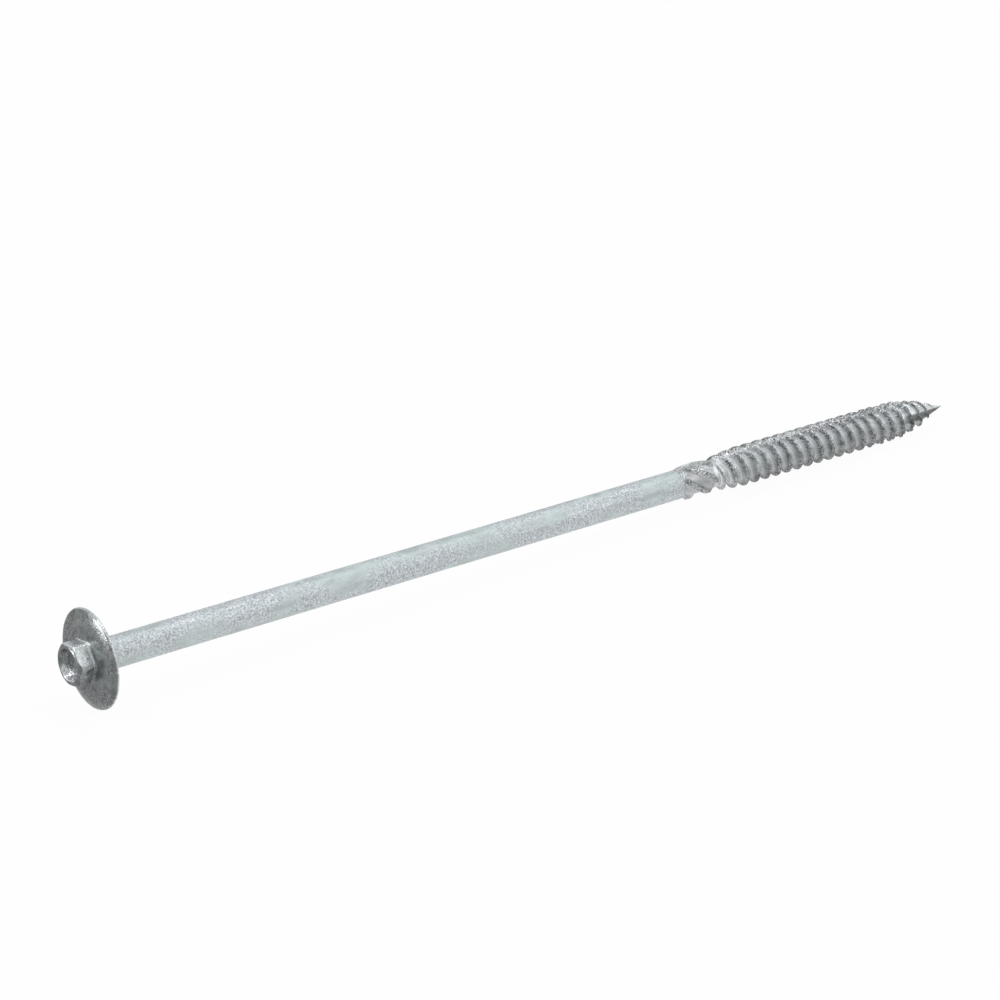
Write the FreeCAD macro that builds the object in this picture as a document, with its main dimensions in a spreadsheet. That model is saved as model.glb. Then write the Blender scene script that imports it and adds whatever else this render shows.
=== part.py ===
"""A flanged hex-head timber screw, hot-dip galvanised, lying at rest on its flange and thread.

The screw is one cold-forged piece. Its own X axis runs from the head to the point, with zero at the
middle of the bearing face under the flange. The finished body is tipped about Y by the small angle at
which such a screw comes to rest. Lengths are in millimetres, angles in degrees.
"""
import FreeCAD, Part
import os
import Sketcher

NODE = "timber_screw"

SIZES = [
    ("under_head_length", 254.0),
    ("shank_diameter", 7.26),
    ("shank_length", 163.6),
    ("neck_bevel", 0.6),
    # flange, forged with the hex: a bevelled rim and a low cone up to the hex
    ("flange_diameter", 22.8),
    ("rim_thickness", 1.1),
    ("rim_bevel", 0.3),
    ("cone_rise", 0.89),
    ("cone_top_diameter", 9.0),
    # hex, across its flats and across its bevelled corners at the bearing face, with a dished top
    ("head_height", 6.0),
    ("hex_width", 9.4),
    ("hex_corner_width", 10.2),
    ("hex_turn", 20.0),
    ("hex_draft", 1.0),
    ("crown_diameter", 8.4),
    ("crown_angle", 40.0),
    ("dish_diameter", 7.4),
    ("dish_floor_diameter", 6.2),
    ("dish_depth", 1.7),
    # reamer, a core with spiral ribs
    ("reamer_length", 12.0),
    ("reamer_core_diameter", 6.8),
    ("core_step", 0.5),
    ("rib_diameter", 8.4),
    ("rib_count", 5),
    ("rib_lead", 34.0),
    ("rib_crest", 1.5),
    ("rib_flank_angle", 52.0),
    ("rib_ramp_angle", 16.0),
    ("rib_phase", 46.0),
    # two-start right-hand thread, which rises out of the reamer
    ("thread_diameter", 10.1),
    ("root_diameter", 6.1),
    ("thread_pitch", 3.557),
    ("thread_starts", 2),
    ("thread_offset", 10.5),
    ("thread_run_out", 12.3),
    ("ridge_overlap", 0.2),
    ("flank_angle", 31.0),
    ("valley_diameter", 7.6),
    ("lead_in_length", 10.7),
    ("lead_in_diameter", 7.9),
    # point: narrower turns of the same thread, which dwindle along a nose in two cones
    ("point_half_angle", 13.8),
    ("point_thread_turns", 1.8),
    ("point_thread_diameter", 8.0),
    ("point_flank_angle", 10.0),
    ("point_crest", 0.8),
    ("nose_length", 17.5),
    ("nose_tip_length", 9.3),
    ("nose_tip_diameter", 6.9),
    ("bare_point_length", 3.0),
    # one square-cornered cut along the point, which leans outwards from the tip
    ("cut_length", 16.8),
    ("cut_lean", 13.4),
    ("cut_direction", 150.0),
    ("cut_roll", 20.0),
]

SHANK_RADIUS = "Sizes.shank_diameter / 2"
FLANGE_RADIUS = "Sizes.flange_diameter / 2"
BEARING_RADIUS = f"({FLANGE_RADIUS} - Sizes.rim_bevel)"
HEAD_TOP = "-Sizes.head_height"
HEX_REACH = "Sizes.hex_width"
CROWN_RADIUS = "Sizes.crown_diameter / 2"
CROWN_DROP = f"({HEX_REACH} - {CROWN_RADIUS}) * tan(Sizes.crown_angle)"
DISH_FLOOR = f"({HEAD_TOP} + Sizes.dish_depth)"
ABOVE_HEAD = f"({HEAD_TOP} - Sizes.dish_depth)"
CORE_RADIUS = "Sizes.reamer_core_diameter / 2"
REAMER_END = "(Sizes.shank_length + Sizes.reamer_length)"
RIB_RADIUS = "Sizes.rib_diameter / 2"
RIB_FOOT_RADIUS = f"({CORE_RADIUS} - Sizes.ridge_overlap)"
RIB_START = "(Sizes.shank_length - Sizes.rib_crest / 2)"
RIB_HALF_CREST = "Sizes.rib_crest / 2"
RIB_HALF_FOOT = f"({RIB_HALF_CREST} + ({RIB_RADIUS} - {RIB_FOOT_RADIUS}) * tan(Sizes.rib_flank_angle))"
ROOT_RADIUS = "Sizes.root_diameter / 2"
THREAD_RADIUS = "Sizes.thread_diameter / 2"
TIP = "Sizes.under_head_length"
LEAD = "Sizes.thread_pitch * Sizes.thread_starts"
THREAD_START = "(Sizes.shank_length + Sizes.thread_offset)"
THREAD_TURNS = f"(({TIP} - Sizes.thread_run_out - {THREAD_START}) / ({LEAD}))"
VALLEY_RADIUS = "Sizes.valley_diameter / 2"
THREAD_CORE_RADIUS = f"({ROOT_RADIUS} - Sizes.ridge_overlap)"
HALF_FLANK = f"(({THREAD_RADIUS} - {VALLEY_RADIUS}) * tan(Sizes.flank_angle))"
POINT_SLOPE = "tan(Sizes.point_half_angle)"
NOSE_START = f"({TIP} - Sizes.nose_length)"


def fill_sheet(doc):
    sheet = doc.addObject("Spreadsheet::Sheet", "Sizes")
    for row, (name, value) in enumerate(SIZES, start=1):
        sheet.set(f"A{row}", name)
        sheet.set(f"B{row}", str(value))
        sheet.setAlias(f"B{row}", name)
    doc.recompute()


def origin_part(body, role):
    return next(part for part in body.Origin.OriginFeatures if part.Role == role)


def evaluated(sketch, expression):
    """The present value of an expression, without its unit."""
    result = sketch.evalExpression(expression)
    return getattr(result, "Value", result)


def add_sketch(body, name, plane):
    sketch = body.newObject("Sketcher::SketchObject", name)
    sketch.AttachmentSupport = [(origin_part(body, plane), "")]
    sketch.MapMode = "FlatFace"
    return sketch


def pin_start(sketch, edge, x, y):
    """Holds the start of an edge at expressions that are measured from the sketch's axes."""
    for kind, axis, expression in (("DistanceX", -2, x), ("DistanceY", -1, y)):
        if expression == "0":
            sketch.addConstraint(Sketcher.Constraint("PointOnObject", edge, 1, axis))
            continue
        constraint = Sketcher.Constraint(kind, edge, 1, evaluated(sketch, expression))
        index = sketch.addConstraint(constraint)
        sketch.setExpression(f"Constraints[{index}]", expression)


def draw_outline(sketch, corners):
    """A closed outline of straight sides through its corners."""
    points = [FreeCAD.Vector(*(evaluated(sketch, value) for value in corner)) for corner in corners]
    for index, start in enumerate(points):
        sketch.addGeometry(Part.LineSegment(start, points[(index + 1) % len(points)]), False)
    for index, corner in enumerate(corners):
        previous = (index - 1) % len(corners)
        sketch.addConstraint(Sketcher.Constraint("Coincident", previous, 2, index, 1))
        pin_start(sketch, index, *corner)


def turn_profile(body, kind, name, corners):
    """A Revolution or a Groove of an outline, all the way round the screw's axis."""
    sketch = add_sketch(body, f"{name}_outline", "XZ_Plane")
    draw_outline(sketch, corners)
    feature = body.newObject(f"PartDesign::{kind}", name)
    feature.Profile = sketch
    feature.ReferenceAxis = (origin_part(body, "X_Axis"), [""])
    feature.Angle = 360
    return feature


def add_blank(body):
    """The turned shape of the whole screw: flange, neck, shank, reamer core, thread root and point."""
    cone_top = "-(Sizes.rim_thickness + Sizes.cone_rise)"
    corners = [
        (cone_top, "0"),
        (cone_top, "Sizes.cone_top_diameter / 2"),
        ("-Sizes.rim_thickness", BEARING_RADIUS),
        ("-(Sizes.rim_thickness - Sizes.rim_bevel)", FLANGE_RADIUS),
        ("-Sizes.rim_bevel", FLANGE_RADIUS),
        ("0", BEARING_RADIUS),
        ("0", f"{SHANK_RADIUS} + Sizes.neck_bevel"),
        ("Sizes.neck_bevel", SHANK_RADIUS),
        ("Sizes.shank_length", SHANK_RADIUS),
        ("Sizes.shank_length", CORE_RADIUS),
        (REAMER_END, CORE_RADIUS),
        (f"{REAMER_END} + Sizes.core_step", THREAD_CORE_RADIUS),
        (f"{TIP} - {THREAD_CORE_RADIUS} / {POINT_SLOPE}", THREAD_CORE_RADIUS),
        (TIP, "0"),
    ]
    turn_profile(body, "Revolution", "blank", corners)


def add_hexagon(body):
    """The hex, with bevelled corners and a little draft, from the bearing face to the top."""
    sketch = add_sketch(body, "hexagon_outline", "YZ_Plane")
    reach = "Sizes.hex_corner_width / 2"
    half_bevel = f"((Sizes.hex_width / 2 - {reach} * cos(30)) / sin(30))"
    corners = []
    for turn in range(30, 390, 60):
        for side in (-1, 1):
            across = f"{reach} * cos({turn}) - ({side}) * {half_bevel} * sin({turn})"
            up = f"{reach} * sin({turn}) + ({side}) * {half_bevel} * cos({turn})"
            corners.append((across, up))
    draw_outline(sketch, corners)
    sketch.AttachmentOffset = FreeCAD.Placement(FreeCAD.Vector(), FreeCAD.Rotation(FreeCAD.Vector(0, 0, 1), 1))
    sketch.setExpression("AttachmentOffset.Rotation.Angle", "Sizes.hex_turn")
    hexagon = body.newObject("PartDesign::Pad", "hexagon")
    hexagon.Profile = sketch
    hexagon.setExpression("Length", "Sizes.head_height")
    hexagon.setExpression("TaperAngle", "-Sizes.hex_draft")
    hexagon.Reversed = True


def shape_head_top(body):
    """The bevelled crown and the shallow dish."""
    crown = [
        (HEAD_TOP, CROWN_RADIUS),
        (f"{HEAD_TOP} + {CROWN_DROP}", HEX_REACH),
        (ABOVE_HEAD, HEX_REACH),
        (ABOVE_HEAD, CROWN_RADIUS),
    ]
    turn_profile(body, "Groove", "crown", crown)
    dish = [
        (DISH_FLOOR, "0"),
        (DISH_FLOOR, "Sizes.dish_floor_diameter / 2"),
        (HEAD_TOP, "Sizes.dish_diameter / 2"),
        (ABOVE_HEAD, "Sizes.dish_diameter / 2"),
        (ABOVE_HEAD, "0"),
    ]
    turn_profile(body, "Groove", "dish", dish)


def add_helix(body, name, corners, lead, turns, phase=None):
    """A ridge of the given section, which runs round the screw's axis."""
    sketch = add_sketch(body, f"{name}_section", "XZ_Plane")
    draw_outline(sketch, corners)
    if phase:
        sketch.AttachmentOffset = FreeCAD.Placement(FreeCAD.Vector(), FreeCAD.Rotation(FreeCAD.Vector(1, 0, 0), 1))
        sketch.setExpression("AttachmentOffset.Rotation.Angle", phase)
    helix = body.newObject("PartDesign::AdditiveHelix", name)
    helix.Profile = sketch
    helix.ReferenceAxis = (origin_part(body, "X_Axis"), [""])
    helix.Mode = "pitch-turns-angle"
    helix.setExpression("Pitch", lead)
    helix.setExpression("Turns", turns)
    return helix


def repeat_round(body, feature, count):
    pattern = body.newObject("PartDesign::PolarPattern", f"{feature.Name}_pattern")
    pattern.Originals = [feature]
    pattern.Axis = (origin_part(body, "X_Axis"), [""])
    pattern.Angle = 360
    pattern.setExpression("Occurrences", count)
    body.Tip = pattern


def ridge_section(middle, sides, crest_radius=None):
    """A section that is the same on both sides of its middle, where it may come to a sharp crest."""
    before = [(f"{middle} - {half}", radius) for half, radius in sides]
    crest = [(middle, crest_radius)] if crest_radius else []
    after = [(f"{middle} + {half}", radius) for half, radius in reversed(sides)]
    return before + crest + after


def add_reamer(body):
    """Spiral ribs on the reamer's core, with a ramp at each end."""
    sides = [(RIB_HALF_FOOT, RIB_FOOT_RADIUS), (RIB_HALF_CREST, RIB_RADIUS)]
    section = ridge_section(RIB_START, sides)
    turns = f"({REAMER_END} - {RIB_HALF_FOOT} - {RIB_START}) / Sizes.rib_lead"
    ribs = add_helix(body, "reamer_rib", section, "Sizes.rib_lead", turns, phase="Sizes.rib_phase")
    repeat_round(body, ribs, "Sizes.rib_count")
    run = f"(Sizes.rib_diameter - {SHANK_RADIUS}) / tan(Sizes.rib_ramp_angle)"
    turn_profile(body, "Groove", "rib_entry", [
        ("Sizes.shank_length", SHANK_RADIUS),
        (f"Sizes.shank_length + {run}", "Sizes.rib_diameter"),
        ("Sizes.shank_length - Sizes.rib_lead", "Sizes.rib_diameter"),
        ("Sizes.shank_length - Sizes.rib_lead", SHANK_RADIUS),
    ])
    run = f"(Sizes.rib_diameter - {CORE_RADIUS}) / tan(Sizes.rib_ramp_angle)"
    turn_profile(body, "Groove", "rib_exit", [
        (REAMER_END, CORE_RADIUS),
        (f"{REAMER_END} + Sizes.reamer_length", CORE_RADIUS),
        (f"{REAMER_END} + Sizes.reamer_length", "Sizes.rib_diameter"),
        (f"{REAMER_END} - {run}", "Sizes.rib_diameter"),
    ])


def add_thread(body):
    """The full thread. Its ridges are wider at the foot, so that neighbours meet in rounded valleys."""
    foot_radius = f"({THREAD_CORE_RADIUS} - Sizes.ridge_overlap)"
    valley_slope = f"(Sizes.thread_pitch / 2 - {HALF_FLANK}) / ({VALLEY_RADIUS} - {ROOT_RADIUS})"
    half_foot = f"({HALF_FLANK} + ({VALLEY_RADIUS} - {foot_radius}) * {valley_slope})"
    sides = [(half_foot, foot_radius), (HALF_FLANK, VALLEY_RADIUS)]
    section = ridge_section(THREAD_START, sides, THREAD_RADIUS)
    thread = add_helix(body, "thread", section, LEAD, THREAD_TURNS)
    repeat_round(body, thread, "Sizes.thread_starts")
    lead_in_end = f"{THREAD_START} + Sizes.lead_in_length"
    before = f"{THREAD_START} - {HALF_FLANK}"
    turn_profile(body, "Groove", "lead_in", [
        (THREAD_START, "Sizes.lead_in_diameter / 2"),
        (lead_in_end, THREAD_RADIUS),
        (lead_in_end, "Sizes.thread_diameter"),
        (before, "Sizes.thread_diameter"),
        (before, "Sizes.lead_in_diameter / 2"),
    ])


def add_point(body):
    """The last turns on the point, the nose that they dwindle along, and the cut through them."""
    bare = "Sizes.bare_point_length"
    top = "Sizes.point_thread_diameter / 2"
    foot_radius = f"({bare} * {POINT_SLOPE} / 2)"
    half_crest = "Sizes.point_crest / 2"
    half_foot = f"({half_crest} + ({top} - {foot_radius}) * tan(Sizes.point_flank_angle))"
    start = f"({THREAD_START} + ({THREAD_TURNS} - 1 / Sizes.thread_starts) * {LEAD})"
    section = ridge_section(start, [(half_foot, foot_radius), (half_crest, top)])
    thread = add_helix(body, "point_thread", section, LEAD, "Sizes.point_thread_turns")
    repeat_round(body, thread, "Sizes.thread_starts")
    turn_profile(body, "Groove", "nose", [
        (NOSE_START, THREAD_RADIUS),
        (f"{TIP} - Sizes.nose_tip_length", "Sizes.nose_tip_diameter / 2"),
        (f"{TIP} - {bare}", f"{bare} * {POINT_SLOPE}"),
        (f"{TIP} + {bare}", f"{bare} * {POINT_SLOPE}"),
        (f"{TIP} + {bare}", "Sizes.thread_diameter"),
        (NOSE_START, "Sizes.thread_diameter"),
    ])
    add_cut(body)


def add_cut(body):
    """The square-cornered cut. Its corner starts at the tip and leans away from the axis."""
    sketch = add_sketch(body, "point_cut_outline", "YZ_Plane")
    reach = "Sizes.thread_diameter"
    draw_outline(sketch, [("0", "0"), (reach, "0"), (reach, reach), ("0", reach)])
    quarter_turn = FreeCAD.Rotation(FreeCAD.Vector(0, 0, 1), 1)
    sketch.AttachmentOffset = FreeCAD.Placement(FreeCAD.Vector(0, 0, 1), quarter_turn)
    sketch.setExpression("AttachmentOffset.Base.z", TIP)
    sketch.setExpression("AttachmentOffset.Rotation.Angle", "Sizes.cut_direction - Sizes.cut_roll")
    cut = body.newObject("PartDesign::Pocket", "point_cut")
    cut.Profile = sketch
    cut.UseCustomVector = True
    cut.setExpression("Direction.x", "-cos(Sizes.cut_lean)")
    cut.setExpression("Direction.y", "sin(Sizes.cut_lean) * cos(Sizes.cut_direction)")
    cut.setExpression("Direction.z", "sin(Sizes.cut_lean) * sin(Sizes.cut_direction)")
    cut.setExpression("Length", "Sizes.cut_length / cos(Sizes.cut_lean)")


def lay_down(body):
    """Tips the screw until a line under it touches the flange's rim and the end of the full thread."""
    dip = f"atan(({FLANGE_RADIUS} - {THREAD_RADIUS}) / ({NOSE_START} + Sizes.rim_bevel))"
    body.Placement = FreeCAD.Placement(FreeCAD.Vector(), FreeCAD.Rotation(FreeCAD.Vector(0, 1, 0), 1))
    body.setExpression("Placement.Rotation.Angle", dip)


def check(doc, body):
    for part in doc.Objects:
        if "Invalid" in part.State or "Error" in part.State:
            raise RuntimeError(f"{part.Name} could not be built")
    if body.Shape.isNull() or not body.Shape.isValid():
        raise RuntimeError(f"{body.Label} has no valid shape")


def main():
    doc = FreeCAD.newDocument("TimberScrew")
    fill_sheet(doc)
    body = doc.addObject("PartDesign::Body", NODE)
    body.Label = NODE
    add_blank(body)
    add_hexagon(body)
    shape_head_top(body)
    add_reamer(body)
    add_thread(body)
    add_point(body)
    lay_down(body)
    doc.recompute()
    check(doc, body)
    os.makedirs("parts", exist_ok=True)
    body.Shape.exportStep(f"parts/{body.Label}.step")
    print(f"{body.Label}: {body.Shape.Volume:.1f} cubic mm")


main()
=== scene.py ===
import math

import bmesh
import bpy
import numpy as np
from mathutils import Matrix, Vector


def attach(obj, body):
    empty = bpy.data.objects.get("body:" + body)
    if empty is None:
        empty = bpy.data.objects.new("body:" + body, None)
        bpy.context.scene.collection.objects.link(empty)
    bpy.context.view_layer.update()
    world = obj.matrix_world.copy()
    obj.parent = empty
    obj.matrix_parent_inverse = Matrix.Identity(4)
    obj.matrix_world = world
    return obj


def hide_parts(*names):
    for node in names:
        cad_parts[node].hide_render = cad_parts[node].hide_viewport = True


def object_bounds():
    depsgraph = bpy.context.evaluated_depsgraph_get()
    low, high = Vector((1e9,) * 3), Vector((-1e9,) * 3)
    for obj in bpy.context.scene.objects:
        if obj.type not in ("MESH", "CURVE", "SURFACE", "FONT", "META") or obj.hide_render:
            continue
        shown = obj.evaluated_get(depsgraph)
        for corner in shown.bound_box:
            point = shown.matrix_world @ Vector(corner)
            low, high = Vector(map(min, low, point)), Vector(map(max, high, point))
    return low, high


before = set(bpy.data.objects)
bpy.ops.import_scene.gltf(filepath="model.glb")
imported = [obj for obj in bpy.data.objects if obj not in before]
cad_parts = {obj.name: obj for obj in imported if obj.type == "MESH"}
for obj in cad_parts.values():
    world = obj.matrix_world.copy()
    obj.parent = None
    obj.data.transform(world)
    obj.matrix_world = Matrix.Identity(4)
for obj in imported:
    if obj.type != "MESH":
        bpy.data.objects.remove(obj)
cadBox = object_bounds()
print("frame loaded")

# the screw in millimetres and degrees, x from the bearing face to the tip; it is scaled and laid down last
screw = {
    "columns": 96, "tip": 254.0, "dip": 1.536,
    "headTop": -6.0, "dishFloor": -4.3, "dishFloorRadius": 3.1, "dishRadius": 3.72, "lipRadius": 4.12,
    "hexApothem": 4.7, "hexDraft": 1.0, "hexCorner": 1.8, "hexTurn": 20.0,
    "hexGuide": 4.7, "hexFoot": -1.96, "footBlend": 0.5,
    "crownAngle": 40.0, "crownRounding": 0.3, "crownStep": 0.16, "crownEase": 0.05,
    "shoulderX": -1.66, "shoulder": 8.9, "coneFade": 8.0, "coneTo": -0.9, "rimRadius": 11.4,
    "shankRadius": 3.63, "shankEnd": 163.6, "reamerCore": 3.42, "coreFrom": 174.6, "coreTo": 177.8,
    "threadFrom": 175.6, "rootRadius": 3.05, "coneFrom": 241.6, "noseBulge": 0.16, "bulgeBefore": 3.0,
    "sharpAngle": 50.0,
}
ribs = {
    "count": 5, "lead": 34.0, "at": 165.33,
    "radius": 4.22, "halfCrest": 0.42, "halfFoot": 1.02, "meanRadius": 3.8,
    "rampFrom": 163.7, "rampTo": 164.9, "endFrom": 172.6, "endTo": 175.4,
}
thread = {
    "pitch": 3.557, "starts": 2, "at": 174.1, "startsFrom": 170.5, "startsTo": 172.5, "flank": 22.0,
    "rounding": 0.42, "roundingShare": 0.35, "leastRounding": 0.02, "blend": 0.4, "blendShare": 0.4,
}
# radius over the crests: it grows out of the reamer and dwindles along the nose
crestAt = [171.0, 173.5, 175.5, 177.1, 180.7, 184.4, 232.0, 235.0, 237.6, 241.2, 244.7, 248.3, 250.5, 252.5]
crestRadius = [3.3, 3.6, 4.05, 4.42, 4.8, 5.03, 5.03, 4.95, 4.84, 4.2, 3.42, 2.02, 1.2, 0.3]
teeth = {"from": 226.0, "to": 243.0, "spacing": 2.9, "depth": 0.45, "width": 0.5, "radius": 5.0}
# the corner of the cut nears the axis from start, by lean for each millimetre; roll turns its two sides
cut = {"direction": 150.0, "roll": 20.0, "from": 237.0, "start": 4.25, "lean": 0.2441, "before": 8.0}
# how the columns of faces gather at the hex's corners and turn with the ribs and the ridges
flow = {
    "gather": 0.3, "gatherFrom": 3.0, "gatherFull": 4.1, "gatherFade": 5.4,
    "ribStart": 162.8, "ribsFrom": 161.0, "ribsFull": 164.5,
    "ridgeShift": 97.5, "ridgesFrom": 171.0, "ridgesFull": 177.5,
}

# corners of half the section: x, radius, rounding, its steps, cuts on the run to the next corner
outline = [
    (screw["dishFloor"], 0.0, 0, 0, 6),
    (screw["dishFloor"], screw["dishFloorRadius"], 0.45, 3, 3),
    (screw["headTop"], screw["dishRadius"], 0.16, 3, 0),
    (screw["headTop"], screw["lipRadius"], 0, 0, 0),
    (screw["headTop"] + 0.02, screw["hexGuide"], 0, 0, 18),
    (-4.6, screw["hexGuide"], 0, 0, 9),
    (screw["hexFoot"], screw["hexGuide"], 0.5, 5, 24),
    (screw["shoulderX"], screw["shoulder"], 0.8, 4, 4),
    (-1.2, 10.2, 0.5, 3, 0),
    (-0.72, 11.24, 0.24, 3, 0),
    (-0.42, screw["rimRadius"], 0.1, 2, 0),
    (0.0, screw["rimRadius"], 0.15, 3, 10),
    (0.0, screw["shankRadius"], 0.6, 4, 80),
    (82.0, screw["shankRadius"], 0, 0, 80),
    (screw["shankEnd"], screw["shankRadius"], 0, 0, 0),
    (screw["shankEnd"] + 0.12, screw["reamerCore"], 0, 0, 58),
    (screw["threadFrom"], screw["reamerCore"], 0, 0, 100),
    (192.0, screw["rootRadius"], 0, 0, 100),
    (209.0, screw["rootRadius"], 0, 0, 100),
    (226.0, screw["rootRadius"], 0, 0, 100),
    (236.0, screw["rootRadius"], 0, 0, 90),
    (245.0, screw["rootRadius"], 0, 0, 90),
    (screw["tip"], 0.0, 0, 0, 0),
]


def selectOnly(edges=(), vertices=()):
    bm = bmesh.from_edit_mesh(bpy.context.object.data)
    for part in (*bm.faces, *bm.edges, *bm.verts):
        part.select_set(False)
    for place in vertices:
        min(bm.verts, key=lambda v: (v.co - place).length).select_set(True)
    for place in edges:
        min(bm.edges, key=lambda e: ((e.verts[0].co + e.verts[1].co) / 2 - place).length).select_set(True)
    bm.select_flush_mode()


# half the section is drawn corner by corner, rounded, divided and spun
bpy.ops.object.select_all(action="DESELECT")
bpy.ops.mesh.primitive_plane_add(size=1.0)
blank = bpy.context.object
blank.name = "galvanised_screw"
bpy.ops.object.mode_set(mode="EDIT")
bpy.ops.mesh.select_mode(type="VERT")
bpy.ops.mesh.select_all(action="SELECT")
bpy.ops.mesh.merge(type="CENTER")
bpy.ops.transform.translate(value=(outline[0][0], outline[0][1], 0.0))
for before, after in zip(outline, outline[1:]):
    step = (after[0] - before[0], after[1] - before[1], 0.0)
    bpy.ops.mesh.extrude_region_move(TRANSFORM_OT_translate={"value": step})
corners = [Vector((corner[0], corner[1], 0.0)) for corner in outline]
for k, (_, _, rounding, steps, _) in enumerate(outline):
    if rounding:
        selectOnly(vertices=[corners[k]])
        bpy.ops.mesh.bevel(offset=rounding, offset_type="OFFSET", segments=steps, affect="VERTICES")
for k, (_, _, rounding, _, cuts) in enumerate(outline):
    if cuts:
        run = corners[k + 1] - corners[k]
        start = corners[k] + run.normalized() * rounding
        end = corners[k + 1] - run.normalized() * outline[k + 1][2]
        selectOnly(edges=[(start + end) / 2])
        bpy.ops.mesh.subdivide(number_cuts=cuts)
bpy.ops.mesh.select_all(action="SELECT")
bpy.ops.mesh.spin(steps=screw["columns"], angle=2.0 * math.pi, center=(0, 0, 0), axis=(1, 0, 0))
bpy.ops.mesh.select_all(action="SELECT")
bpy.ops.mesh.remove_doubles(threshold=0.0005)
bpy.ops.mesh.normals_make_consistent(inside=False)
bpy.ops.object.mode_set(mode="OBJECT")
print("blank spun:", len(blank.data.vertices), "points")


def smoothstep(low, high, value):
    t = np.clip((value - low) / (high - low), 0.0, 1.0)
    return t * t * (3.0 - 2.0 * t)


# the smaller of two radii, with a soft change from one to the other
def lower(a, b, blend):
    h = np.clip(0.5 + 0.5 * (b - a) / blend, 0.0, 1.0)
    return b + (a - b) * h - blend * h * (1.0 - h)


def higher(a, b, blend):
    return -lower(-a, -b, blend)


# hex, ribs, ridges and cut: each point of the blank moves along its own ray from the axis
flat = np.empty(len(blank.data.vertices) * 3)
blank.data.vertices.foreach_get("co", flat)
x, y, z = flat.reshape(-1, 3).T.copy()
guide = np.hypot(y, z)
angle = np.degrees(np.arctan2(z, y)) % 360.0  # from +Y towards +Z
top = 90.0

# columns gather at the hex's corners
gather = flow["gather"] * smoothstep(flow["gatherFrom"], flow["gatherFull"], guide)
gather *= (1.0 - smoothstep(flow["gatherFade"], screw["coneFade"], guide)) * (x < 0.0)
angle = angle - gather / 6.0 * np.degrees(np.sin(np.radians(6.0 * (angle - top - screw["hexTurn"]))))

# columns turn with the ribs, then with the ridges
threadLead = thread["pitch"] * thread["starts"]
ribRate, ridgeRate = 360.0 / ribs["lead"], 360.0 / threadLead
ribTurn = ribRate * (x - flow["ribStart"])
ridgeTurn = ridgeRate * (x - thread["at"]) + flow["ridgeShift"]
turn = ribTurn * smoothstep(flow["ribsFrom"], flow["ribsFull"], x)
turn = turn + (ridgeTurn - turn) * smoothstep(flow["ridgesFrom"], flow["ridgesFull"], x)
angle = (angle + turn) % 360.0


# from the axis to the side of the hex, its corners rounded
def hexRadius(angle, place):
    apothem = screw["hexApothem"] + place * math.tan(math.radians(screw["hexDraft"]))
    fromFlat = np.radians((angle - 30.0 - screw["hexTurn"]) % 60.0 - 30.0)
    side = apothem / np.cos(fromFlat)
    fromCorner = math.radians(30.0) - np.abs(fromFlat)
    rounding = screw["hexCorner"]
    centre = (apothem - rounding) / math.cos(math.radians(30.0))
    offCentre = centre * np.sin(fromCorner)
    reach = centre * np.cos(fromCorner) + np.sqrt(np.maximum(rounding ** 2 - offCentre ** 2, 0.0))
    limit = np.arctan2(rounding * 0.5, centre + rounding * math.cos(math.radians(30.0)))
    return np.where(fromCorner < limit, reach, side)


# sides of the hex, with the cone that crowns them
guideRadius = screw["hexGuide"]
onSide = (np.abs(guide - guideRadius) < 0.001) & (x < screw["hexFoot"])
fromTop = x - screw["headTop"]
crown = screw["lipRadius"] + fromTop / math.tan(math.radians(screw["crownAngle"]))
crown += screw["crownStep"] * (1.0 - np.exp(-np.maximum(fromTop, 0.0) / screw["crownEase"]))
radius = np.where(onSide, lower(hexRadius(angle, x), crown, screw["crownRounding"]), guide)

# the flange gives way to the hex's foot
onFlange = (guide > guideRadius + 0.001) & (x < screw["coneTo"])
footEnd = guideRadius + screw["footBlend"]
push = hexRadius(angle, screw["hexFoot"]) - guideRadius
push *= 1.0 - smoothstep(footEnd, screw["coneFade"], guide)
coneSlope = (screw["shoulderX"] - screw["hexFoot"]) / (screw["shoulder"] - guideRadius)
radius = np.where(onFlange, guide + push, radius)
x = np.where(onFlange, x + coneSlope * push * smoothstep(guideRadius, footEnd, guide), x)

# core of the reamer, the thread and the nose
pastShank = x > screw["shankEnd"] + 0.05
core = np.interp(x, [screw["coreFrom"], screw["coreTo"], screw["coneFrom"], screw["tip"]],
                 [screw["reamerCore"], screw["rootRadius"], screw["rootRadius"], 0.0])
noseFrom = screw["coneFrom"] - screw["bulgeBefore"]
alongNose = np.clip((x - noseFrom) / (screw["tip"] - noseFrom), 0.0, 1.0)
nose = np.minimum(core + screw["noseBulge"] * np.sin(np.pi * alongNose), screw["rootRadius"] + 0.02)
core = np.where(x > noseFrom, nose, core)
beforeTip = x < screw["tip"] - 0.001
core = np.where(beforeTip, core, 0.0)

# ribs of the reamer
spacing = 360.0 / ribs["count"]
ribAngle = (angle - top - ribRate * (x - ribs["at"]) + spacing / 2.0) % spacing - spacing / 2.0
slant = math.atan(2.0 * math.pi * ribs["meanRadius"] / ribs["lead"])
aside = np.abs(np.radians(ribAngle)) * ribs["meanRadius"] * math.cos(slant)
ribTall = ribs["radius"] - screw["reamerCore"]
ribHeight = ribTall * (1.0 - smoothstep(ribs["halfCrest"], ribs["halfFoot"], aside))
ribHeight *= smoothstep(ribs["rampFrom"], ribs["rampTo"], x)
ribHeight *= 1.0 - smoothstep(ribs["endFrom"], ribs["endTo"], x)

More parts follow.
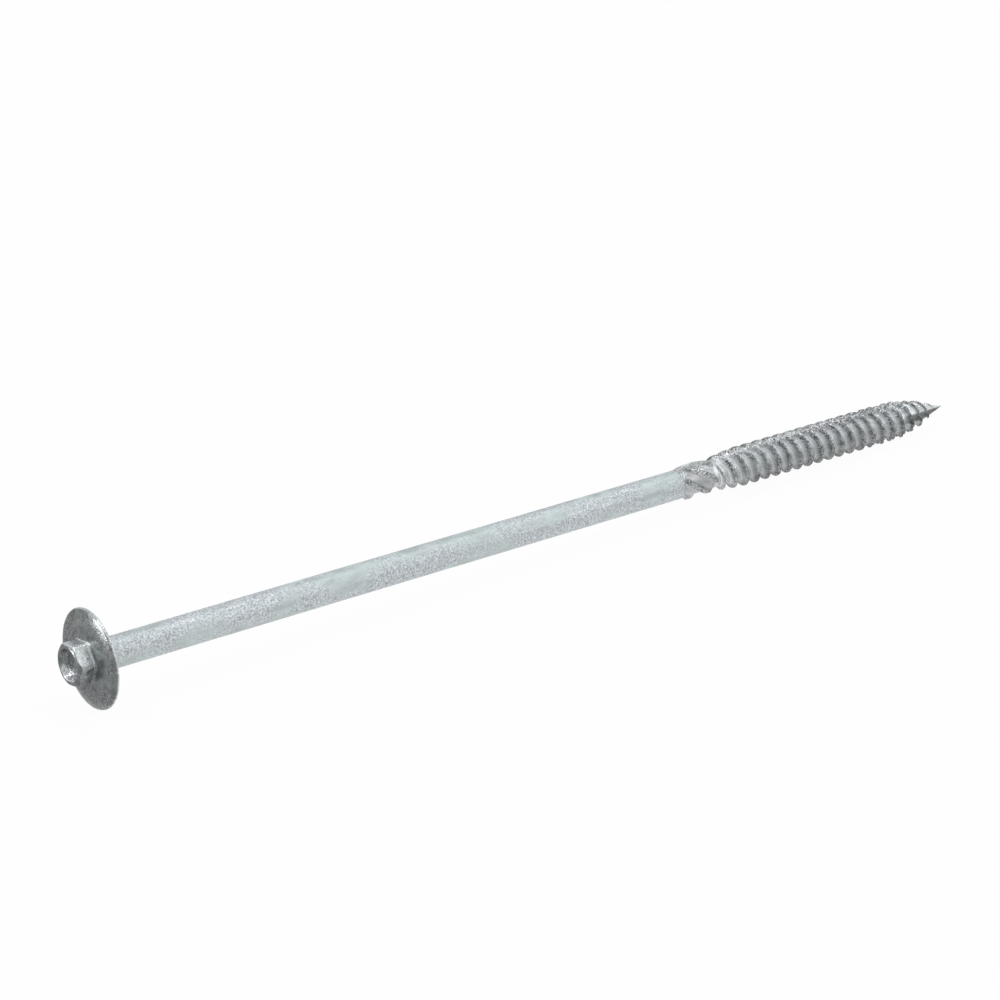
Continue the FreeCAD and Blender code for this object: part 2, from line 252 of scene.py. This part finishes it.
# teeth notched into the last turns
pitch = thread["pitch"]
along = (x - thread["at"] - threadLead * (angle - top) / 360.0 + pitch / 2.0) % pitch - pitch / 2.0
turns = ridgeRate * (x - along - thread["at"]) / 360.0
passed = 2.0 * math.pi * teeth["radius"] * turns / teeth["spacing"]
fromTooth = np.abs((passed + 0.5) % 1.0 - 0.5) * teeth["spacing"]
notch = teeth["depth"] * np.exp(-(fromTooth / teeth["width"]) ** 2)
notch *= smoothstep(teeth["from"] - 1.0, teeth["from"] + 1.0, x)
notch *= 1.0 - smoothstep(teeth["to"] - 2.0, teeth["to"], x)

# ridges of the thread: a round crest, straight flanks and a soft valley
crest = np.interp(x, crestAt, crestRadius) - notch
flank = math.radians(thread["flank"])
crestRound = np.maximum(thread["roundingShare"] * (crest - core), thread["leastRounding"])
crestRound = np.minimum(thread["rounding"], crestRound)
away = np.abs(along)
tangent = crestRound * math.cos(flank)
arc = crest - crestRound + np.sqrt(np.maximum(crestRound ** 2 - away ** 2, 0.0))
slope = crest - crestRound * (1.0 - math.sin(flank)) - (away - tangent) / math.tan(flank)
ridge = np.where(away < tangent, arc, slope)
valleyRound = np.minimum(thread["blend"], np.maximum(core, 0.001) * thread["blendShare"])
threaded = np.where(beforeTip, higher(core, ridge, valleyRound), 0.0)
started = smoothstep(thread["startsFrom"], thread["startsTo"], x)
radius = np.where(pastShank, np.maximum(core + ribHeight, started * threaded), radius)

# the square cut along the point
direction, roll = cut["direction"], cut["roll"]
corner = np.maximum(cut["start"] - cut["lean"] * (x - cut["from"]), 0.02)
facingWall = np.cos(np.radians(angle - direction + roll))
facingFloor = np.cos(np.radians(angle - direction + roll - 90.0))
toWall = corner * math.cos(math.radians(roll)) / np.maximum(facingWall, 0.001)
toFloor = corner * math.cos(math.radians(90.0 - roll)) / np.maximum(facingFloor, 0.001)
within = (facingWall > 0.0) & (facingFloor > 0.0) & (x > cut["from"] - cut["before"])
radius = np.where(within, np.minimum(radius, np.maximum(toWall, toFloor)), radius)

# for the coat: how far each point lies from valley to crest, and where painted shade darkens the metal, on
# the cut near the point and in the hollows between the reamer's ribs
marks = {"reamerBefore": 2.0, "reamerLow": 0.27, "reamerSpan": 0.4, "betweenRibs": 0.4,
         "bandFrom": -0.05, "bandFull": 0.15, "bandFade": 1.9, "bandTo": 2.3, "bandGrows": 3.0}
tallest = np.where(x > screw["threadFrom"], crest, ribs["radius"])
rise = np.clip((radius - core) / np.maximum(tallest - core, 0.2), 0.0, 1.0)
beforeThread = x < screw["threadFrom"] - marks["reamerBefore"]
rise = np.where(beforeThread, marks["reamerLow"] + marks["reamerSpan"] * rise, rise)
rise = np.where(pastShank, rise, 1.0)
# painted shade: a dark band over the cut near the point
belowCut = np.radians((angle - direction + 180.0) % 360.0 - 180.0) * core
cutShade = smoothstep(marks["bandFrom"], marks["bandFull"], belowCut)
cutShade *= 1.0 - smoothstep(marks["bandFade"], marks["bandTo"], belowCut)
cutShade *= smoothstep(cut["from"], cut["from"] + marks["bandGrows"], x)
# painted shade: the cut band, plus darker hollows between the reamer's ribs
paintedShade = cutShade + np.where(pastShank & beforeThread, marks["betweenRibs"] * (1.0 - ribHeight / ribTall), 0.0)
for name, values in (("rise", rise), ("paintedShade", paintedShade)):
    blank.data.attributes.new(name, "FLOAT", "POINT").data.foreach_set("value", values)

shaped = np.stack([x, radius * np.cos(np.radians(angle)), radius * np.sin(np.radians(angle))], axis=1)
blank.data.vertices.foreach_set("co", shaped.ravel())
blank.data.update()
print("hex, ribs, thread and cut shaped")

# soft lumps of the zinc: size, strength, middle level
lumps = {"shankLumps": (5.0, 0.05, 0.75), "grain": (0.9, 0.05, 0.85)}
for name, (size, strength, middle) in lumps.items():
    texture = bpy.data.textures.new(name, "CLOUDS")
    texture.noise_scale = size
    texture.noise_depth = 1
    modifier = blank.modifiers.new(name, "DISPLACE")
    modifier.texture = texture
    modifier.texture_coords = "LOCAL"
    modifier.strength = strength
    modifier.mid_level = middle
    bpy.ops.object.modifier_apply(modifier=name)

# from millimetres to metres, tip down as it rests
blank.scale = (0.001, 0.001, 0.001)
blank.rotation_euler = (0.0, math.radians(screw["dip"]), 0.0)
bpy.ops.object.transform_apply(location=True, rotation=True, scale=True)
bpy.ops.object.shade_smooth_by_angle(angle=math.radians(screw["sharpAngle"]))
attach(blank, "root")
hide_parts("timber_screw")
print("screw laid down:", sum(len(p.vertices) - 2 for p in blank.data.polygons), "triangles")


def addNode(tree, kind, at, **values):
    node = tree.nodes.new(kind)
    node.location = at
    for key, value in values.items():
        if hasattr(node, key):
            setattr(node, key, value)
        else:
            node.inputs[key].default_value = value
    return node


# a socket takes a number, a colour or what another node gives
def feed(tree, source, socket):
    if isinstance(source, (float, tuple)):
        socket.default_value = source
    else:
        tree.links.new(source, socket)


def addRange(tree, source, spanIn, spanOut, at, kind="LINEAR"):
    node = addNode(tree, "ShaderNodeMapRange", at, interpolation_type=kind)
    for name, value in zip(("From Min", "From Max", "To Min", "To Max"), (*spanIn, *spanOut)):
        node.inputs[name].default_value = value
    tree.links.new(source, node.inputs["Value"])
    return node.outputs["Result"]


def addMath(tree, operation, first, second, at):
    node = addNode(tree, "ShaderNodeMath", at, operation=operation)
    feed(tree, first, node.inputs[0])
    feed(tree, second, node.inputs[1])
    return node.outputs[0]


def mixColours(tree, share, first, second, at, blend="MIX"):
    node = addNode(tree, "ShaderNodeMix", at, data_type="RGBA", blend_type=blend)
    for k, source in ((0, share), (6, first), (7, second)):
        feed(tree, source, node.inputs[k])
    return node.outputs[2]


# hot-dip zinc: dark and light speckles round a middle tone, in three zones that fade into each other;
# the edges of the zones and the height of the bumps are in metres
coat = {
    "head": {
        "dark": 0.17, "light": 0.9, "spread": 0.14, "red": 0.965,
        "roughness": 0.26, "metal": 0.95, "bump": 0.35,
    },
    "shank": {
        "dark": 0.34, "light": 0.82, "spread": 0.14, "red": 0.925,
        "roughness": 0.56, "metal": 0.9, "bump": 0.4,
    },
    "thread": {
        "dark": 0.05, "light": 0.74, "spread": 0.09, "red": 0.965,
        "roughness": 0.27, "metal": 0.75, "bump": 0.85,
    },
    "green": 0.99, "shankFrom": (-0.0006, 0.001), "threadFrom": (0.1631, 0.1638), "bumpHeight": 0.0001,
    "stretch": (0.4, 1.0, 1.0), "patches": 420.0, "speckle": 2200.0, "regions": 190.0,
    "calm": (0.26, 0.74), "grainEdge": (0.4, 0.6), "grain": (0.15, 0.9),
    "crestEdge": (0.15, 0.6), "unevenFrom": (0.3, 0.7), "uneven": (0.75, 1.25),
    # the grey in the second entry below is multiplied in as painted shade on the cut and between the
    # reamer's ribs
    "valley": (0.7469, 0.7623, 0.77, 1.0), "paintedShade": (0.3, 0.3, 0.3, 1.0),
    "calmTint": (0.96, 1.0, 0.975, 1.0), "grainTint": (1.0, 0.99, 1.02, 1.0),
}
zinc = bpy.data.materials.new("hotDipZinc")
zinc.use_nodes = True
tree = zinc.node_tree
links = tree.links
shader = tree.nodes["Principled BSDF"]
coords = addNode(tree, "ShaderNodeTexCoord", (-2000, 0))
stretched = addNode(tree, "ShaderNodeMapping", (-1800, 300), Scale=coat["stretch"])
links.new(coords.outputs["Object"], stretched.inputs["Vector"])
patches = addNode(tree, "ShaderNodeTexNoise", (-1500, 400), Scale=coat["patches"], Detail=4.0, Roughness=0.6)
regions = addNode(tree, "ShaderNodeTexNoise", (-1500, 650), Scale=coat["regions"], Detail=2.0, Roughness=0.5)
speckle = addNode(tree, "ShaderNodeTexNoise", (-1500, 100), Scale=coat["speckle"], Detail=3.0, Roughness=0.7)
for noise, vector in ((patches, stretched.outputs["Vector"]), (regions, stretched.outputs["Vector"]),
                      (speckle, coords.outputs["Object"])):
    links.new(vector, noise.inputs["Vector"])
calm = addRange(tree, patches.outputs["Fac"], (0.0, 1.0), coat["calm"], (-1250, 500))
grainy = addRange(tree, regions.outputs["Fac"], coat["grainEdge"], coat["grain"], (-1250, 750))
mottle = addNode(tree, "ShaderNodeMix", (-1050, 300), data_type="FLOAT")
for k, source in ((0, grainy), (2, calm), (3, speckle.outputs["Fac"])):
    links.new(source, mottle.inputs[k])

# head, shank and thread by their places along the axis
split = addNode(tree, "ShaderNodeSeparateXYZ", (-1500, -300))
links.new(coords.outputs["Object"], split.inputs["Vector"])
isShank = addRange(tree, split.outputs["X"], coat["shankFrom"], (0.0, 1.0), (-1250, -200))
isThread = addRange(tree, split.outputs["X"], coat["threadFrom"], (0.0, 1.0), (-1250, -450))
zones = [coat[name] for name in ("head", "shank", "thread")]


# one value along the whole screw, from those of its three zones
def byZone(values, at, kind="FLOAT"):
    before, after, out = (6, 7, 2) if kind == "RGBA" else (2, 3, 0)
    mixed = values[0]
    for k, (share, value) in enumerate(((isShank, values[1]), (isThread, values[2]))):
        node = addNode(tree, "ShaderNodeMix", (at[0] + 200 * k, at[1]), data_type=kind)
        links.new(share, node.inputs[0])
        feed(tree, mixed, node.inputs[before])
        feed(tree, value, node.inputs[after])
        mixed = node.outputs[out]
    return mixed


tones = []
for k, zone in enumerate(zones):
    tone = addNode(tree, "ShaderNodeValToRGB", (-1000, 500 - 250 * k))
    places, levels = (0.5 - zone["spread"], 0.5 + zone["spread"]), (zone["dark"], zone["light"])
    for end, place, level in zip(tone.color_ramp.elements, places, levels):
        end.position = place
        end.color = (zone["red"] * level, coat["green"] * level, level, 1.0)
    links.new(mottle.outputs[0], tone.inputs["Fac"])
    tones.append(tone.outputs["Color"])
colour = byZone(tones, (-600, 300), "RGBA")

# the valleys of the thread are smooth and light, its crests speckled; painted shade darkens the cut near the
# point and the hollows between the reamer's ribs
fromValley = addNode(tree, "ShaderNodeAttribute", (-800, 700), attribute_name="rise")
onCrest = addRange(tree, fromValley.outputs["Fac"], coat["crestEdge"], (0.0, 1.0), (-600, 700))
colour = mixColours(tree, onCrest, coat["valley"], colour, (-350, 500))
inPaintedShade = addNode(tree, "ShaderNodeAttribute", (-800, 900), attribute_name="paintedShade")
colour = mixColours(tree, inPaintedShade.outputs["Fac"], colour, coat["paintedShade"], (-150, 400), "MULTIPLY")
tint = mixColours(tree, grainy, coat["calmTint"], coat["grainTint"], (50, 600))
colour = mixColours(tree, 1.0, colour, tint, (250, 500), "MULTIPLY")
links.new(colour, shader.inputs["Base Color"])
links.new(byZone([zone["metal"] for zone in zones], (-600, 150)), shader.inputs["Metallic"])

uneven = addRange(tree, patches.outputs["Fac"], coat["unevenFrom"], coat["uneven"], (-600, -150))
rough = byZone([zone["roughness"] for zone in zones], (-600, 0))
links.new(addMath(tree, "MULTIPLY", rough, uneven, (-150, 0)), shader.inputs["Roughness"])
bump = addNode(tree, "ShaderNodeBump", (-150, -300), Distance=coat["bumpHeight"])
links.new(byZone([zone["bump"] for zone in zones], (-600, -400)), bump.inputs["Strength"])
links.new(speckle.outputs["Fac"], bump.inputs["Height"])
links.new(bump.outputs["Normal"], shader.inputs["Normal"])
blank.data.materials.clear()
blank.data.materials.append(zinc)
print("zinc coat made")

# floor and backdrop; what the metal mirrors of them is dim left of the head, behind the flange and by the
# thread, and on the floor this is painted shadow that only the metal sees; the places where that changes are
# in metres
studio = {
    "floorSize": 8.0, "floorWhite": 0.96, "floorColour": (0.8, 0.8, 0.8, 1.0), "floorRoughness": 0.9,
    "skyLevel": 0.7, "skyTint": (0.97, 0.985, 1.0, 1.0), "white": (1.0, 1.0, 1.0, 1.0),
    "bright": 0.92, "floorBright": 1.05, "dim": 0.3, "threadShadow": 0.56, "shadowBehind": 0.35,
    "headSide": (-0.005, 0.006), "threadSide": (0.168, 0.188),
    "behindFrom": (0.012, 0.024), "behindTo": (0.022, 0.04), "dimSlant": 50.0, "dimEdge": (-0.1, 0.13),
}


# a level that changes softly along one axis
def levelAlong(axis, tree, vector, span, levels, at):
    split = addNode(tree, "ShaderNodeSeparateXYZ", at)
    tree.links.new(vector, split.inputs["Vector"])
    return addRange(tree, split.outputs[axis], span, levels, (at[0] + 200, at[1]), "SMOOTHSTEP")


# one shader for diffuse light, one for the metal's reflections and white for the camera
def showByRay(tree, plain, mirrored, white, whiteShare, output):
    path = addNode(tree, "ShaderNodeLightPath", (-500, 300))
    share = addMath(tree, "MULTIPLY", path.outputs["Is Camera Ray"], whiteShare, (-100, 200))
    reflected = addNode(tree, "ShaderNodeMixShader", (200, 0))
    seen = addNode(tree, "ShaderNodeMixShader", (400, 0))
    for node, factor, first, second in ((reflected, path.outputs["Is Glossy Ray"], plain, mirrored),
                                        (seen, share, reflected.outputs["Shader"], white)):
        for k, source in enumerate((factor, first, second)):
            tree.links.new(source, node.inputs[k])
    tree.links.new(seen.outputs["Shader"], tree.nodes[output].inputs["Surface"])


bpy.ops.object.select_all(action="DESELECT")
bpy.ops.mesh.primitive_plane_add(size=studio["floorSize"], location=(0.0, 0.0, cadBox[0][2]))
floor = bpy.context.object
floor.name = "floor"
paper = bpy.data.materials.new("paper")
paper.use_nodes = True
tree = paper.node_tree
matt = tree.nodes["Principled BSDF"]
matt.inputs["Base Color"].default_value = studio["floorColour"]
matt.inputs["Roughness"].default_value = studio["floorRoughness"]
place = addNode(tree, "ShaderNodeTexCoord", (-1300, -400)).outputs["Object"]
floorLevels = (studio["dim"], studio["floorBright"])
# painted shadow in the floor as the metal mirrors it: dim left of the head, darker behind the flange and
# under the thread
leftSide = levelAlong("X", tree, place, studio["headSide"], floorLevels, (-1100, -200))
rightSide = levelAlong("X", tree, place, studio["threadSide"], (1.0, studio["threadShadow"]), (-1100, -400))
farSide = levelAlong("Y", tree, place, studio["behindFrom"], (0.0, 1.0), (-1100, -600))
nearHead = levelAlong("X", tree, place, studio["behindTo"], (1.0, 0.0), (-1100, -800))
shadowBehind = addMath(tree, "MULTIPLY", farSide, nearHead, (-650, -700))
shaded = addRange(tree, shadowBehind, (0.0, 1.0), (1.0, studio["shadowBehind"]), (-450, -700))
level = addMath(tree, "MULTIPLY", leftSide, rightSide, (-450, -300))
level = addMath(tree, "MULTIPLY", level, shaded, (-250, -300))
level = addMath(tree, "MAXIMUM", level, studio["dim"], (-100, -300))
mirroredFloor = addNode(tree, "ShaderNodeEmission", (0, -300))
tree.links.new(level, mirroredFloor.inputs["Strength"])
white = addNode(tree, "ShaderNodeEmission", (0, -500), Strength=1.0)
showByRay(tree, matt.outputs["BSDF"], mirroredFloor.outputs["Emission"], white.outputs["Emission"],
          studio["floorWhite"], "Material Output")
floor.data.materials.append(paper)

world = bpy.data.worlds.new("studio")
bpy.context.scene.world = world
world.use_nodes = True
tree = world.node_tree
sky = tree.nodes["Background"]
sky.inputs["Color"].default_value = studio["white"]
sky.inputs["Strength"].default_value = studio["skyLevel"]

# the dim part of the backdrop is low and to the left
leaning = addNode(tree, "ShaderNodeMapping", (-900, -400))
leaning.inputs["Rotation"].default_value = (0.0, math.radians(studio["dimSlant"]), 0.0)
around = addNode(tree, "ShaderNodeTexCoord", (-1100, -200))
tree.links.new(around.outputs["Generated"], leaning.inputs["Vector"])
skyLevels = (studio["dim"], studio["bright"])
backdrop = levelAlong("X", tree, leaning.outputs["Vector"], studio["dimEdge"], skyLevels, (-700, -200))
mirrored = addNode(tree, "ShaderNodeBackground", (0, -200), Color=studio["skyTint"])
tree.links.new(backdrop, mirrored.inputs["Strength"])
white = addNode(tree, "ShaderNodeBackground", (0, -400), Color=studio["white"], Strength=1.0)
showByRay(tree, sky.outputs["Background"], mirrored.outputs["Background"], white.outputs["Background"],
          1.0, "World Output")

# place, size and power of each lamp, turned to the screw
lamps = {
    "overheadLeft": ((-0.6, 0.3, 1.7), (0.45, 0.45), 5.5),
    "leftBox": ((-1.5, 0.68, 0.46), (0.6, 0.45), 5.0),
    "topRight": ((1.1, 0.15, 1.6), (0.4, 0.3), 3.0),
    "frontRight": ((1.3, -1.5, 1.3), (1.6, 1.2), 5.0),
}
lampTarget = Vector((0.1, 0.0, 0.0))
for name, (at, size, power) in lamps.items():
    lamp = bpy.data.lights.new(name, "AREA")
    lamp.shape = "RECTANGLE"
    lamp.size, lamp.size_y = size
    lamp.energy = power
    holder = bpy.data.objects.new(name, lamp)
    bpy.context.scene.collection.objects.link(holder)
    holder.location = at
    holder.rotation_euler = (lampTarget - Vector(at)).to_track_quat("-Z", "Y").to_euler()

# the camera stands where the photo's outlines put it
view = {
    "lens": 113.67, "sensor": 36.0, "at": (-0.295203, -0.528301, 0.312091),
    "right": (0.7936, -0.6084, 0.0), "forward": (0.55298, 0.72127, -0.41711),
}
lens = bpy.data.cameras.new("view")
lens.lens = view["lens"]
lens.sensor_width = view["sensor"]
camera = bpy.data.objects.new("view", lens)
bpy.context.scene.collection.objects.link(camera)
right, forward = Vector(view["right"]), Vector(view["forward"])
stand = Matrix((right, right.cross(forward), -forward)).transposed().to_4x4()
stand.translation = Vector(view["at"])
camera.matrix_world = stand
bpy.context.scene.camera = camera
bpy.context.scene.view_settings.view_transform = "Standard"
print("stage set")
